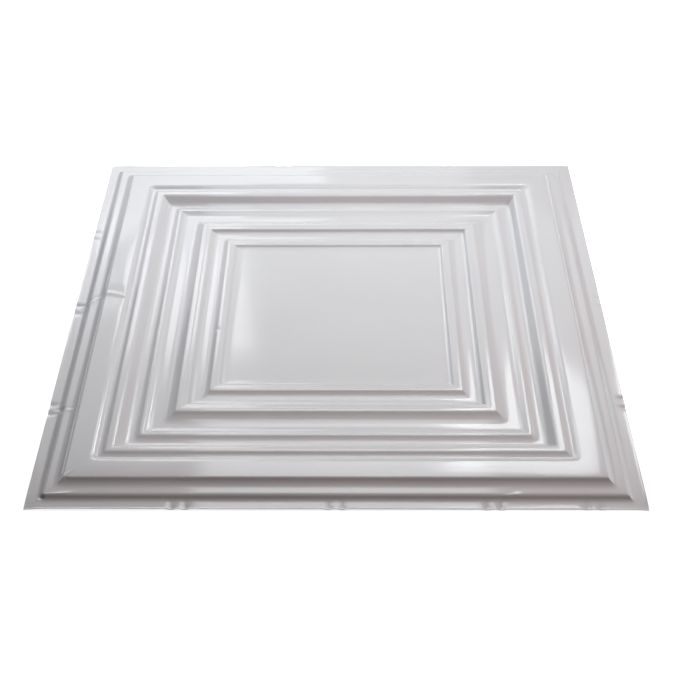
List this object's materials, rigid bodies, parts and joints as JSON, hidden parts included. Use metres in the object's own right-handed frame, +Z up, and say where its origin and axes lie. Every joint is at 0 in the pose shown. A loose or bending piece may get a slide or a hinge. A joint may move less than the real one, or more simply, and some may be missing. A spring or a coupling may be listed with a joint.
{
  "type": "pvc drop ceiling tile",
  "caption": "Square thermoformed PVC lay-in ceiling tile: thin gloss white sheet with stepped coved frames round a flat centre panel and a flat flange that rests on the ceiling grid.",
  "frame": {"origin": "centre of the tile at the level its centre panel lies on, the bottom of the bounding box", "axes": "+Z up out of the decorated face, +X and +Y along the tile's edges, the front edge of the picture at -Y"},
  "size_m": [0.603, 0.603, 0.0122],
  "materials": {
    "pvc_sheet": "gloss"
  },
  "bodies": {
    "root": {"ceiling_tile": "pvc_sheet"}
  },
  "joints": []
}
